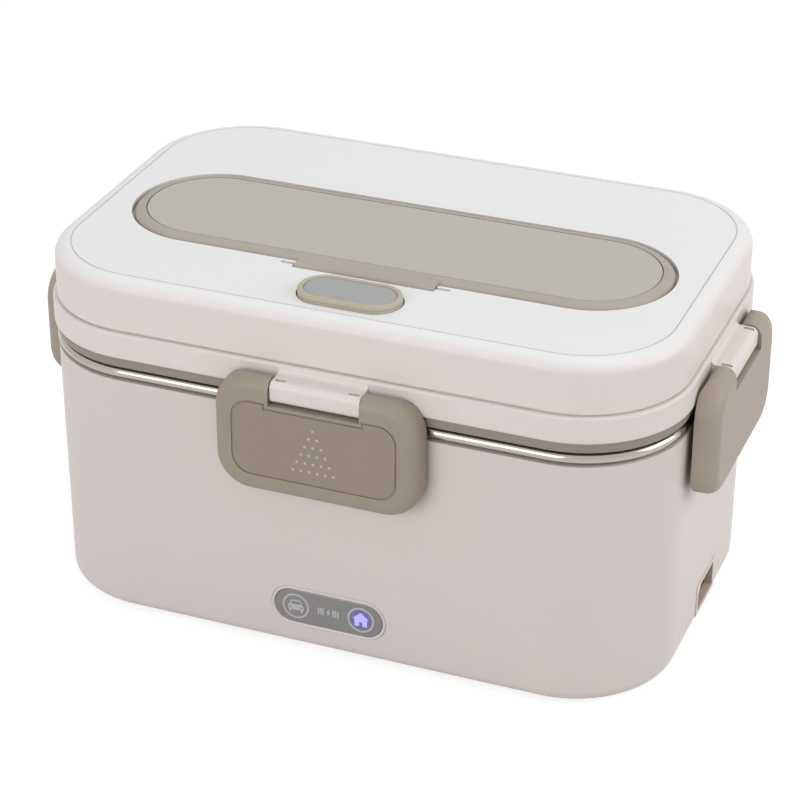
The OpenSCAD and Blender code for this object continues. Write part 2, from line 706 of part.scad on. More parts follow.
module cutlery_cover() color([0.66, 0.62, 0.56]) difference() {
    union() {
        translate([0, -cover_y, 0])
            block(cover_l, cover_w, cover_w / 2, cover_bottom, cover_top, cover_rim, cover_rise);
        translate([0, cover_axis_y, cover_axis_z]) rotate([0, 90, 0])
            cylinder(r = barrel_r, h = tab_w, center = true);
        translate([-tab_w / 2, cover_axis_y, cover_bottom])
            cube([tab_w, cover_w / 4, cover_axis_z + barrel_r - cover_bottom - 0.1]);
    }
    translate([0, cover_axis_y, cover_axis_z]) rotate([0, 90, 0])
        cylinder(d = cover_pin_d + 2 * turn_fit, h = tab_w + 2, center = true);
    translate([0, -cover_y, cover_top - inlay_t]) linear_extrude(5)
        pill(inlay_l + 2 * inlay_gap, inlay_w + 2 * inlay_gap);
}

module cover_inlay() color([0.72, 0.71, 0.67]) translate([0, -cover_y, 0])
    block(inlay_l, inlay_w, inlay_w / 2, cover_top - inlay_t, cover_top, 0.3, 0.3);

// ---------- steam plug ----------

module steam_plug() color([0.68, 0.62, 0.54]) translate([plug_x, -plug_y, 0]) difference() {
    union() {
        block(plug_l, plug_w, plug_w / 2, plug_seat + touch_gap, plug_top, 1.2, 1.2);
        translate([0, 0, plug_seat - stem_l]) cylinder(d = stem_d, h = stem_l + 1);
    }
    translate([0, 0, plug_top - plug_inset_t]) linear_extrude(5)
        pill(plug_l - 2 * plug_rim, plug_w - 2 * plug_rim);
    translate([0, 0, plug_seat - stem_l - 1]) cylinder(d = stem_d - 3, h = stem_l);
}

module plug_inset() color([0.63, 0.64, 0.64]) translate([plug_x, -plug_y, 0]) {
    edge = plug_rim + slip;
    block(plug_l - 2 * edge, plug_w - 2 * edge, plug_w / 2 - edge,
          plug_top - plug_inset_t, plug_top - 0.1, 0.5, 0.5);
}

// ---------- latches ----------

// the front and back latches have a framed grip area with dots; those at the ends are plain

module latch(k) color([0.60, 0.56, 0.50]) at_side(k) {
    difference() {
        translate([0, 0, latch_z + latch_h / 2]) rotate([90, 0, 0])
            block(latch_w, latch_h, latch_r, latch_back, latch_d, latch_edge, latch_edge);
        // hollow behind the plate
        translate([0, 0, latch_z]) rotate([90, 0, 0]) linear_extrude(latch_d - latch_plate_t)
            intersection() {
                translate([0, latch_h / 2])
                    rrect(latch_w - 2 * latch_rim, latch_h - 2 * latch_rim, latch_r - latch_rim);
                translate([-latch_w / 2, 0]) square([latch_w, arm_z - latch_z]);
            }
        // notch between the arms
        translate([-lug_w / 2 - notch_gap, -latch_d - 1, notch_z])
            cube([lug_w + 2 * notch_gap, latch_d + 2, latch_h]);
        // round back of the arms, which turns past the band
        rotate([90, 0, 90]) linear_extrude(latch_w + 2, center = true)
            polygon(concat(arc(-pin_out, pin_z, pin_round, 0, 90),
                [[0, pin_z + pin_round], [0, pin_z]]));
        translate([0, -pin_out, pin_z]) rotate([0, 90, 0])
            cylinder(d = latch_pin_d + 2 * turn_fit, h = 2 * pin_reach + 0.6, center = true);
        if (faces_along(k)) latch_groove();
    }
    rotate([90, 0, 90]) linear_extrude(hook_w, center = true)
        polygon([[-latch_d + latch_plate_t - 0.5, hook_z - 2], [-1, hook_z], [hook_reach, hook_z + 1],
                 [hook_reach, hook_z + hook_h], [-latch_d + latch_plate_t - 0.5, hook_z + hook_h]]);
    if (faces_along(k)) grip_dots();
}

// raised dots in the grip area
module grip_dots() for (row = [1:dot_rows], i = [1:row])
    translate([(i - (row + 1) / 2) * dot_pitch_x, dot_r - dot_rise - latch_d,
               dot_top_z - (row - 1) * dot_pitch_z]) sphere(dot_r, $fn = 24);

// outline of the latch's grip area, drawn in by d, which steps down round the notch
module grip_area(d) difference() {
    translate([0, notch_z + groove_lift - groove_h / 2])
        rrect(latch_w - 2 * (groove_side + d), groove_h - 2 * d, groove_side - d);
    translate([-lug_w / 2 - notch_gap - groove_step - d, notch_z - groove_step - d])
        square([lug_w + 2 * (notch_gap + groove_step + d), groove_h]);
}

// fine groove that frames the grip area
module latch_groove() translate([0, latch_groove_t - latch_d, 0]) rotate([90, 0, 0]) linear_extrude(5)
    difference() {
        grip_area(0);
        grip_area(latch_groove_w);
    }

module latch_front() latch(0);
module latch_right() latch(1);
module latch_back() latch(2);
module latch_left() latch(3);

outer_shell();
base_plate();
feet();
base_screws();
inner_well();
heating_plate();
heater_mains();
heater_low_voltage();
heater_clamp();
heater_screws();
thermostat();
thermal_fuse();
insulation_pad();
circuit_board();
board_screws();
indicator_leds();
panel_bezel();
panel_window();
socket_frame();
socket_housing();
socket_pins();
wiring();
food_container();
lid_band();
lid_cover();
inner_lid();
lid_seal();
lid_screws();
latch_pins();
cover_hinge_pin();
cutlery_cover();
cover_inlay();
steam_plug();
plug_inset();
latch_front();
latch_right();
latch_back();
latch_left();
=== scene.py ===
"""Dresses the jointed electric lunch box: camera, studio, finishes and fine mesh detail.

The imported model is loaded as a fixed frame, and every finish is procedural. Each piece made
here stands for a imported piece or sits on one, and rides on the same body. The sizes of made
pieces are in millimetres, and places in materials and in the studio are in metres.
"""

from __future__ import annotations

import json
import logging
import math
from dataclasses import dataclass, field
from enum import Enum
from typing import Sequence, Union

import bmesh
import bpy
from mathutils import Matrix, Vector

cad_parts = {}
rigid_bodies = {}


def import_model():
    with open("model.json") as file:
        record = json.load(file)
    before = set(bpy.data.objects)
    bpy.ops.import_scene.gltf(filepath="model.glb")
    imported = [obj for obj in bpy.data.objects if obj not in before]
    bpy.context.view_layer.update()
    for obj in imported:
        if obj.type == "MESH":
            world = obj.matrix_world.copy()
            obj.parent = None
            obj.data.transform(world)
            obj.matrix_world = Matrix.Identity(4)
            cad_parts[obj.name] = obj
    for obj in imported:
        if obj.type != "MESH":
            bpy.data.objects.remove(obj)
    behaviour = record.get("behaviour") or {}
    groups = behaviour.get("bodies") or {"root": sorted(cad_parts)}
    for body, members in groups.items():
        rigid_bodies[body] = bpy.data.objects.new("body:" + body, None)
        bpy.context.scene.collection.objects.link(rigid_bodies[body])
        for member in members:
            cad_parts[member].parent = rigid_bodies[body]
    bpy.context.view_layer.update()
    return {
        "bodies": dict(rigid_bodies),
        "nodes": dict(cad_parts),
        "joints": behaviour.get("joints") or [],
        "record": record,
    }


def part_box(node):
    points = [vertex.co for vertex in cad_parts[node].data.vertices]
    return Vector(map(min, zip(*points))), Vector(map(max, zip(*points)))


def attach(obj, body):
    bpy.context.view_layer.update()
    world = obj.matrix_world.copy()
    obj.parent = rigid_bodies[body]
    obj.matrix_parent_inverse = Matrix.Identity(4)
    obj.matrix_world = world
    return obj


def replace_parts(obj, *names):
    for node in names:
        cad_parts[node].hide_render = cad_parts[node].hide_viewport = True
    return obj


LOG = logging.getLogger("lunch_box")
MM = 0.001

Triple = tuple[float, float, float]
Colour = Triple
Number = Union[int, float]
Key = Union[int, str]
Loop = list[Vector]
Outline = Sequence[tuple[float, float]]
Section = Sequence[tuple[float, float]]

BLACK: Colour = (0.0, 0.0, 0.0)
WHITE: Colour = (1.0, 1.0, 1.0)


# ---------------------------------------------------------------- colours

SCREEN_TOP = 255
TOE_END, TOE_SLOPE = 0.04045, 12.92
CURVE_OFFSET, CURVE_POWER = 0.055, 2.4


def from_screen(red: int, green: int, blue: int) -> Colour:
    """Turns a screen colour of 0 to 255 into the linear colour that a shader takes.

    Args:
        red: Red, 0 to 255.
        green: Green, 0 to 255.
        blue: Blue, 0 to 255.

    Returns:
        The same colour as linear light, each part from 0 to 1.
    """

    def linear(level: int) -> float:
        """Undoes the screen's curve for one channel."""
        share = level / SCREEN_TOP
        if share <= TOE_END:
            return share / TOE_SLOPE
        return ((share + CURVE_OFFSET) / (1 + CURVE_OFFSET)) ** CURVE_POWER

    return linear(red), linear(green), linear(blue)


def scaled(colour: Colour, factor: float, lift: float = 0.0) -> Colour:
    """Makes a colour darker or paler.

    Args:
        colour: The colour.
        factor: What each part is multiplied by.
        lift: What is added to each part.

    Returns:
        The new colour, with no part above 1.
    """
    return tuple(min(1.0, part * factor + lift) for part in colour)


# ---------------------------------------------------------------- shader maths

# Sockets of a Mix node that mixes colours.
MIX_SHARE, MIX_FIRST, MIX_SECOND, MIX_RESULT = 0, 6, 7, 2
# The middle of a noise, about which it swings.
NOISE_MIDDLE = 0.5


@dataclass(frozen=True)
class Field:
    """One output socket, on which arithmetic adds Math nodes."""

    nodes: "Nodes"
    socket: bpy.types.NodeSocket

    def other(self, output: Key) -> "Field":
        """Another output of the same node."""
        return Field(self.nodes, self.socket.node.outputs[output])

    def _math(self, operation: str, *values: Union["Field", Number]) -> "Field":
        """Adds one Math node over the given values."""
        return self.nodes.node("ShaderNodeMath", {"operation": operation}, dict(enumerate(values)))

    def __add__(self, other: Union["Field", Number]) -> "Field":
        """Adds a value."""
        return self._math("ADD", self, other)

    __radd__ = __add__

    def __sub__(self, other: Union["Field", Number]) -> "Field":
        """Takes a value away."""
        return self._math("SUBTRACT", self, other)

    def __rsub__(self, other: Number) -> "Field":
        """Takes this from a number."""
        return self._math("SUBTRACT", other, self)

    def __mul__(self, other: Union["Field", Number]) -> "Field":
        """Multiplies by a value."""
        return self._math("MULTIPLY", self, other)

    __rmul__ = __mul__

    def __truediv__(self, other: Union["Field", Number]) -> "Field":
        """Divides by a value."""
        return self._math("DIVIDE", self, other)

    def __abs__(self) -> "Field":
        """Drops the sign."""
        return self._math("ABSOLUTE", self)

    def __pow__(self, exponent: Number) -> "Field":
        """Raises this to a power."""
        return self._math("POWER", self, exponent)

    def above(self, edge: Number) -> "Field":
        """Gives 1 where this is above the edge and 0 elsewhere."""
        return self._math("GREATER_THAN", self, edge)

    def below(self, edge: Number) -> "Field":
        """Gives 1 where this is below the edge and 0 elsewhere."""
        return self._math("LESS_THAN", self, edge)

    def at_least(self, floor: Union["Field", Number]) -> "Field":
        """Takes the larger of this and another value."""
        return self._math("MAXIMUM", self, floor)

    def at_most(self, ceiling: Number) -> "Field":
        """Takes the smaller of this and another value."""
        return self._math("MINIMUM", self, ceiling)

    def ramp(self, low: Number, high: Number) -> "Field":
        """Rises from 0 at low to 1 at high."""
        return ((self - low) / (high - low)).at_least(0.0).at_most(1.0)


class Nodes:
    """A node tree that is filled by expressions on fields."""

    def __init__(self, tree: bpy.types.NodeTree) -> None:
        """Empties the tree.

        Args:
            tree: The tree of a material or of the world.
        """
        self.tree = tree
        self.tree.nodes.clear()

    def node(
        self,
        kind: str,
        settings: dict[str, object] | None = None,
        values: dict[Key, object] | None = None,
        output: Key = 0,
    ) -> Field:
        """Adds any node.

        Args:
            kind: The node's type.
            settings: Its properties, which are set first.
            values: Its sockets by name or number, each a number, a colour or a field.
            output: The output to return.

        Returns:
            The chosen output.
        """
        made = self.tree.nodes.new(kind)
        for name, setting in (settings or {}).items():
            setattr(made, name, setting)
        for key, value in (values or {}).items():
            self.put(made.inputs[key], value)
        return Field(self, made.outputs[output])

    def put(self, socket: bpy.types.NodeSocket, value: object) -> None:
        """Links a field to a socket, or sets a plain value on it.

        Args:
            socket: The input socket.
            value: A field, a number, a colour or a vector.
        """
        if isinstance(value, Field):
            self.tree.links.new(value.socket, socket)
        elif socket.type == "RGBA":
            socket.default_value = (*value, 1.0)
        else:
            socket.default_value = value

    def show(self, kind: str, surface: Field) -> None:
        """Ends the tree in its output node.

        Args:
            kind: The output node's type.
            surface: The shader that shows.
        """
        self.put(self.tree.nodes.new(kind).inputs["Surface"], surface)

    def blend(self, share: Field, first: object, second: object) -> Field:
        """Mixes two colours.

        Args:
            share: How much of the second colour shows.
            first: The colour where share is 0.
            second: The colour where share is 1.

        Returns:
            The mixed colour.
        """
        colours = {MIX_SHARE: share, MIX_FIRST: first, MIX_SECOND: second}
        return self.node("ShaderNodeMix", {"data_type": "RGBA"}, colours, MIX_RESULT)

    def seen_directly(self) -> Field:
        """Gives 1 for rays from the camera, a reflection or a clear piece, and 0 for light."""
        ray = self.node("ShaderNodeLightPath", output="Is Camera Ray")
        return ray.at_least(ray.other("Is Glossy Ray")).at_least(ray.other("Is Transmission Ray"))


class Shader(Nodes):
    """A material with one Principled shader."""

    def __init__(self, name: str) -> None:
        """Starts the material.

        Args:
            name: The finish's name.
        """
        self.material = bpy.data.materials.new(f"{name}_finish")
        self.material.use_nodes = True
        super().__init__(self.material.node_tree)
        principled = self.node("ShaderNodeBsdfPrincipled", output="BSDF")
        self.sockets = principled.socket.node.inputs
        self.show("ShaderNodeOutputMaterial", principled)

    def set(self, **values: object) -> None:
        """Fills the Principled shader's sockets; underscores stand for spaces.

        Args:
            **values: A value or a field for each socket.
        """
        for name, value in values.items():
            self.put(self.sockets[name.replace("_", " ")], value)

    def place(self) -> Field:
        """The point's place on its own object, in metres."""
        return self.node("ShaderNodeTexCoord", output="Object")

    def axes(self) -> tuple[Field, Field, Field]:
        """The point's three coordinates on its own object, in metres."""
        along = self.node("ShaderNodeSeparateXYZ", values={0: self.place()})
        return along, along.other(1), along.other(2)

    def noise(self, scale: float, detail: float = 2.0, stretch: Triple | None = None) -> Field:
        """Noise over the object's own space.

        Args:
            scale: Grains per metre.
            detail: Number of octaves.
            stretch: How much finer the grain is along each axis.

        Returns:
            The noise, from 0 to 1.
        """
        where = self.place()
        if stretch is not None:
            factors = {0: where, 1: stretch}
            where = self.node("ShaderNodeVectorMath", {"operation": "MULTIPLY"}, factors)
        values = {"Vector": where, "Scale": scale, "Detail": detail}
        return self.node("ShaderNodeTexNoise", values=values)

    def relief(self, height: Field, depth: float) -> Field:
        """Turns a height into a surface direction.

        Args:
            height: The height, from 0 to 1.
            depth: The relief's depth in metres.

        Returns:
            The surface direction.
        """
        values = {"Height": height, "Distance": depth, "Strength": 1.0}
        return self.node("ShaderNodeBump", values=values)

    @staticmethod
    def swung(middle: float, *waves: tuple[Field, float]) -> Field:
        """Moves a number to either side of its middle.

        Args:
            middle: The number's middle.
            *waves: Noises, each with how far it moves the number from end to end.

        Returns:
            The moving number.
        """
        for noise, swing in waves:
            middle = middle + (noise - NOISE_MIDDLE) * swing
        return middle


# ---------------------------------------------------------------- finishes


@dataclass(frozen=True)
class MouldedPlastic:
    """Injection-moulded plastic with a fine spark-eroded grain."""

    name: str
    colour: Colour
    roughness: float = 0.45
    grain_per_m: float = 1600.0
    grain_depth: float = 0.000012
    cloud_per_m: float = 28.0
    cloud_swing: float = 0.10
    grain_swing: float = 0.08
    mottle: float = 0.03
    coat: float = 0.0
    coat_roughness: float = 0.25
    gloss: float = 0.35

    def make(self) -> bpy.types.Material:
        """Builds the material."""
        shader = Shader(self.name)
        cloud = shader.noise(self.cloud_per_m)
        grain = shader.noise(self.grain_per_m)
        shader.set(
            Base_Color=shader.blend(cloud, scaled(self.colour, 1 - self.mottle), self.colour),
            Roughness=shader.swung(
                self.roughness, (cloud, self.cloud_swing), (grain, self.grain_swing)),
            Normal=shader.relief(grain, self.grain_depth),
            Specular_IOR_Level=self.gloss,
            Coat_Weight=self.coat,
            Coat_Roughness=self.coat_roughness,
        )
        return shader.material


@dataclass(frozen=True)
class ToneRampPlastic:
    """Moulded plastic that ramps from one tone to another along one axis; on the lid this paints
    light on the top.
    """

    name: str
    first: Colour
    second: Colour
    axis: int
    start: float
    end: float
    roughness: float = 0.42
    grain_per_m: float = 1500.0
    grain_depth: float = 0.00001
    cloud_per_m: float = 22.0
    cloud_swing: float = 0.10
    grain_swing: float = 0.06
    first_mottle: float = 0.975
    second_mottle: float = 0.985
    gloss: float = 0.35

    def make(self) -> bpy.types.Material:
        """Builds the material."""
        shader = Shader(self.name)
        # On the lid this share paints light on the top: paler and cooler above the crown, as light
        # on the top face.
        share = shader.axes()[self.axis].ramp(self.start, self.end)
        cloud = shader.noise(self.cloud_per_m)
        grain = shader.noise(self.grain_per_m)
        first = shader.blend(cloud, scaled(self.first, self.first_mottle), self.first)
        second = shader.blend(cloud, scaled(self.second, self.second_mottle), self.second)
        shader.set(
            Base_Color=shader.blend(share, first, second),
            Roughness=shader.swung(
                self.roughness, (cloud, self.cloud_swing), (grain, self.grain_swing)),
            Normal=shader.relief(grain, self.grain_depth),
            Specular_IOR_Level=self.gloss,
        )
        return shader.material


@dataclass(frozen=True)
class GripPlastic:
    """Latch plastic: a paler frame, a darker grip area inside the groove, and a painted highlight
    on the dot tops.

    The grip area is a rounded rectangle less the notch for the lid's lug. Its sizes are in
    metres, out from the middle of the latch and up from the underside of the box.
    """

    name: str
    frame: Colour
    grip: Colour
    dot_highlight: Colour
    face: float
    half_grip: float = 0.0305
    middle: float = 0.0907
    half_height: float = 0.0145
    corner: float = 0.0072
    notch_half: float = 0.0177
    notch_low: float = 0.1033
    groove_floor: float = 0.00045
    dot_foot: float = 0.00004
    dot_top: float = 0.00022
    roughness: float = 0.50
    grain_per_m: float = 1300.0
    grain_depth: float = 0.000018
    cloud_per_m: float = 30.0
    rub_per_m: float = 110.0
    rub_octaves: float = 3.0
    cloud_swing: float = 0.08
    rub_swing: float = 0.08
    frame_mottle: float = 0.96
    grip_mottle: float = 0.95
    gloss: float = 0.35

    def make(self) -> bpy.types.Material:
        """Builds the material."""
        shader = Shader(self.name)
        area, raised = self._areas(*shader.axes())
        cloud = shader.noise(self.cloud_per_m)
        grain = shader.noise(self.grain_per_m)
        rub = shader.noise(self.rub_per_m, self.rub_octaves)
        frame = shader.blend(cloud, scaled(self.frame, self.frame_mottle), self.frame)
        grip = shader.blend(rub, scaled(self.grip, self.grip_mottle), self.grip)
        shader.set(
            # The raised dot tops take a paler colour: a painted highlight where light catches
            # them.
            Base_Color=shader.blend(raised, shader.blend(area, frame, grip), self.dot_highlight),
            Roughness=shader.swung(
                self.roughness, (cloud, self.cloud_swing), (rub, self.rub_swing)),
            Normal=shader.relief(grain, self.grain_depth),
            Specular_IOR_Level=self.gloss,
        )
        return shader.material

    def _areas(self, along: Field, through: Field, height: Field) -> tuple[Field, Field]:
        """Finds the grip area and the raised dot tops, which take a painted highlight.

        Args:
            along: Place along the latch.
            through: Place through the latch, from the middle of the box.
            height: Height above the underside.

        Returns:
            1 inside the grip area, and 1 on the raised dot tops, where a highlight is painted.
        """
        side, out = abs(along), abs(through)
        notch = side.below(self.notch_half) * height.above(self.notch_low)
        past_side = (side - (self.half_grip - self.corner)).at_least(0.0)
        past_height = (abs(height - self.middle) - (self.half_height - self.corner)).at_least(0.0)
        past = (past_side * past_side + past_height * past_height) ** 0.5
        area = past.below(self.corner) * out.above(self.face - self.groove_floor) * (1 - notch)
        return area, out.ramp(self.face + self.dot_foot, self.face + self.dot_top)


@dataclass(frozen=True)
class SoftSilicone:
    """Silicone rubber with a powdery surface."""

    name: str
    colour: Colour
    roughness: float = 0.62
    stipple_per_m: float = 2200.0
    stipple_depth: float = 0.00001
    dust_per_m: float = 520.0
    dust_octaves: float = 4.0
    dust_share: float = 0.5
    dust_swing: float = 0.12
    dust_factor: float = 1.08
    dust_lift: float = 0.01
    gloss: float = 0.3
    sheen: float = 0.05

    def make(self) -> bpy.types.Material:
        """Builds the material."""
        shader = Shader(self.name)
        dust = shader.noise(self.dust_per_m, self.dust_octaves)
        stipple = shader.noise(self.stipple_per_m)
        dusty = scaled(self.colour, self.dust_factor, self.dust_lift)
        shader.set(
            Base_Color=shader.blend(dust * self.dust_share, self.colour, dusty),
            Roughness=shader.swung(self.roughness, (dust, self.dust_swing)),
            Normal=shader.relief(stipple, self.stipple_depth),
            Specular_IOR_Level=self.gloss,
            Sheen_Weight=self.sheen,
        )
        return shader.material


@dataclass(frozen=True)
class SheetMetal:
    """Metal sheet or turned metal with fine brushing."""

    name: str
    colour: Colour
    roughness: float = 0.22
    brushing: Triple = (40.0, 40.0, 2400.0)
    brush_depth: float = 0.000004
    haze_per_m: float = 35.0
    octaves: float = 3.0
    line_swing: float = 0.16
    haze_swing: float = 0.06
    dulling: float = 0.86

    def make(self) -> bpy.types.Material:
        """Builds the material."""
        shader = Shader(self.name)
        lines = shader.noise(1.0, self.octaves, self.brushing)
        haze = shader.noise(self.haze_per_m, self.octaves)
        shader.set(
            Base_Color=shader.blend(haze, scaled(self.colour, self.dulling), self.colour),
            Metallic=1.0,
            Roughness=shader.swung(
                self.roughness, (lines, self.line_swing), (haze, self.haze_swing)),
            Normal=shader.relief(lines, self.brush_depth),
        )
        return shader.material


@dataclass(frozen=True)
class TintedWindow:
    """Smooth, slightly glossy window over the indicators."""

    name: str
    colour: Colour
    roughness: float = 0.24
    cloud_per_m: float = 60.0
    cloud_swing: float = 0.08
    mottle: float = 0.85
    coat: float = 0.4
    coat_roughness: float = 0.12

    def make(self) -> bpy.types.Material:
        """Builds the material."""
        shader = Shader(self.name)
        cloud = shader.noise(self.cloud_per_m)
        shader.set(
            Base_Color=shader.blend(cloud, scaled(self.colour, self.mottle), self.colour),
            Roughness=shader.swung(self.roughness, (cloud, self.cloud_swing)),
            Coat_Weight=self.coat,
            Coat_Roughness=self.coat_roughness,
        )
        return shader.material


@dataclass(frozen=True)
class LitMark:
    """A mark that light shines through."""

    name: str
    colour: Colour
    strength: float
    roughness: float = 0.4
    cloud_per_m: float = 700.0
    brightening: float = 1.15

    def make(self) -> bpy.types.Material:
        """Builds the material."""
        shader = Shader(self.name)
        uneven = shader.noise(self.cloud_per_m)
        tint = shader.blend(uneven, self.colour, scaled(self.colour, self.brightening))
        shader.set(
            Base_Color=tint,
            Roughness=self.roughness,
            Emission_Color=tint,
            Emission_Strength=self.strength,
        )
        return shader.material


class Finish(Enum):
    """Every finish on the lunch box."""

    SHELL = MouldedPlastic("shell_cream", from_screen(213, 205, 202), roughness=0.42)
    # The lid's paler, cooler top is painted light: the colour ramps by height over the crown,
    # standing in for light on the top face.
    LID = ToneRampPlastic("lid_white", from_screen(223, 215, 212), from_screen(229, 229, 229),
                         axis=2, start=0.1312, end=0.1350)
    UNDERLID = MouldedPlastic("underlid_white", from_screen(232, 230, 226), roughness=0.4)
    BAND = MouldedPlastic("band_cream", from_screen(222, 214, 211), roughness=0.40)
    TAUPE = MouldedPlastic("taupe_plastic", from_screen(169, 161, 149), roughness=0.50,
                           grain_depth=0.00002)
    # The paler colour on the dot tops is a painted highlight.
    LATCH_ALONG = GripPlastic("latch_along", frame=from_screen(155, 143, 128),
                              grip=from_screen(149, 136, 122), dot_highlight=from_screen(182, 172, 158),
                              face=0.0856)
    # The end latches are the same plastic as the others, painted paler: painted light on the ends.
    LATCH_END = MouldedPlastic("latch_end_lit", from_screen(162, 150, 136), roughness=0.50,
                               grain_per_m=1300.0, grain_depth=0.00002)
    INLAY = MouldedPlastic("inlay_plate", from_screen(179, 176, 165), roughness=0.40,
                           grain_per_m=2600.0)
    WELL = MouldedPlastic("well_plastic", from_screen(190, 186, 180), roughness=0.55)
    BASE = MouldedPlastic("base_plastic", from_screen(205, 198, 190), roughness=0.6,
                          grain_depth=0.00003)
    SOCKET = MouldedPlastic("socket_plastic", from_screen(146, 122, 103), roughness=0.5)
    SOCKET_FRAME = ToneRampPlastic("socket_frame", from_screen(216, 191, 172),
                                  from_screen(216, 206, 201), axis=0, start=0.1162, end=0.1169)
    BLACK = MouldedPlastic("black_plastic", from_screen(52, 51, 52), roughness=0.5)
    CERAMIC = MouldedPlastic("heater_film", from_screen(196, 148, 74), roughness=0.3,
                             mottle=0.15, coat=0.4)
    BOARD = MouldedPlastic("board_green", from_screen(38, 104, 62), roughness=0.3,
                           mottle=0.2, coat=0.5)
    FELT = MouldedPlastic("pad_felt", from_screen(226, 220, 206), roughness=0.9,
                          grain_per_m=900.0, grain_depth=0.0003)
    BEZEL = MouldedPlastic("bezel_pearl", from_screen(208, 202, 200), roughness=0.26, coat=0.5)
    LED = MouldedPlastic("led_clear", from_screen(214, 220, 244), roughness=0.2, coat=0.6)
    RIM = SoftSilicone("plug_rim", from_screen(177, 169, 151))
    PLUG = SoftSilicone("plug_inset", from_screen(158, 159, 159), stipple_per_m=900.0,
                        stipple_depth=0.00006)
    SEAL = SoftSilicone("seal_grey", from_screen(142, 135, 129), roughness=0.5)
    RUBBER = SoftSilicone("foot_rubber", from_screen(62, 60, 58), roughness=0.75)
    WIRE = SoftSilicone("wire_red", from_screen(170, 50, 44), roughness=0.5)
    # The stainless colour is darker and browner than the metal's own: a painted reflection of
    # dark, brown surroundings.
    STAINLESS = SheetMetal("stainless", (0.47, 0.43, 0.39), roughness=0.16)
    STEEL = SheetMetal("plated_steel", (0.62, 0.62, 0.63), roughness=0.28,
                       brushing=(900.0, 900.0, 900.0))
    CAST = SheetMetal("cast_aluminium", (0.72, 0.73, 0.74), roughness=0.42,
                      brushing=(300.0, 300.0, 300.0))
    WINDOW = TintedWindow("panel_window", from_screen(130, 128, 127))
    MARK = LitMark("panel_mark", from_screen(176, 176, 178), strength=0.0)
    DISC = LitMark("panel_disc", from_screen(98, 99, 142), strength=0.12)
    BLUE = LitMark("panel_blue", from_screen(144, 141, 250), strength=0.85)

    def material(self) -> bpy.types.Material:
        """The finish's material, made once."""
        return bpy.data.materials.get(f"{self.value.name}_finish") or self.value.make()


# ---------------------------------------------------------------- studio


@dataclass(frozen=True)
class PhotoCamera:
    """The photograph's viewpoint: place in millimetres, angles in degrees."""

    place: Triple = (308.8, -794.5, 535.3)
    azimuth: float = 21.36
    elevation: float = 28.82
    roll: float = 0.14
    focal_px: float = 2632.25
    frame_px: int = 800
    sensor: float = 36.0
    sight: float = 20.0

    def build(self) -> bpy.types.Object:
        """Makes the camera and sets it as the scene's.

        Returns:
            The camera.
        """
        lens = bpy.data.cameras.new("photo_camera")
        lens.sensor_width = self.sensor
        lens.lens = self.focal_px / self.frame_px * self.sensor
        lens.clip_end = self.sight
        camera = bpy.data.objects.new("photo_camera", lens)
        camera.matrix_world = Matrix.Translation(Vector(self.place) * MM) @ self._turn()
        bpy.context.scene.collection.objects.link(camera)
        bpy.context.scene.camera = camera
        return camera

    def _turn(self) -> Matrix:
        """Works out the camera's turn.

        Returns:
            The turn, as a matrix of its right, up and back directions.
        """
        azimuth, elevation, roll = map(math.radians, (self.azimuth, self.elevation, self.roll))
        back = Vector((math.sin(azimuth) * math.cos(elevation),
                       -math.cos(azimuth) * math.cos(elevation), math.sin(elevation)))
        right = (-back).cross(Vector((0, 0, 1))).normalized()
        up = right.cross(-back)
        across = right * math.cos(roll) + up * math.sin(roll)
        upward = up * math.cos(roll) - right * math.sin(roll)
        return Matrix((across, upward, back)).transposed().to_4x4()


@dataclass(frozen=True)
class SoftBox:
    """One large studio lamp that points at the object."""

    name: str
    place: Triple
    size: float
    watts: float
    colour: Colour = WHITE
    target: Triple = (0.0, 0.0, 0.08)

    def build(self) -> None:
        """Hangs the lamp."""
        lamp = bpy.data.lights.new(self.name, "AREA")
        lamp.shape = "SQUARE"
        lamp.size = self.size
        lamp.energy = self.watts
        lamp.color = self.colour
        holder = bpy.data.objects.new(self.name, lamp)
        holder.location = self.place
        aim = Vector(self.target) - Vector(self.place)
        holder.rotation_euler = aim.to_track_quat("-Z", "Y").to_euler()
        bpy.context.scene.collection.objects.link(holder)


